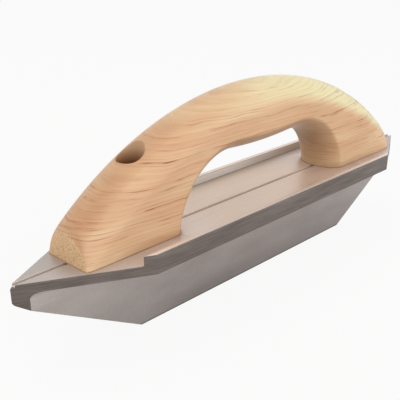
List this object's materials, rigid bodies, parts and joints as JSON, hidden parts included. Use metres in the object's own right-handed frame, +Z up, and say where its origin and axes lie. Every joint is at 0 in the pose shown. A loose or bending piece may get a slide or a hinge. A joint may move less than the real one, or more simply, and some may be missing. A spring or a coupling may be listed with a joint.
{
  "type": "brick jointer",
  "caption": "Long metal runner, pointed at both ends, with a deep keel that finishes mortar joints, side lips and a bowed wooden handle screwed on top.",
  "frame": {"origin": "middle of the keel's flat bottom", "axes": "+X along the tool, away from the point that is nearest in the picture; +Y across it; +Z up through the handle"},
  "size_m": [0.3038, 0.0614, 0.111],
  "materials": {
    "extruded_aluminium": "satin, as extruded, with sawn ends",
    "hardwood": "sanded smooth, thin clear coat",
    "screw_steel": "zinc plated",
    "washer_steel": "zinc plated"
  },
  "bodies": {
    "root": {"jointer_body": "extruded_aluminium", "handle": "hardwood", "front_screw": "screw_steel", "rear_screw": "screw_steel", "front_washer": "washer_steel", "rear_washer": "washer_steel"}
  },
  "joints": []
}
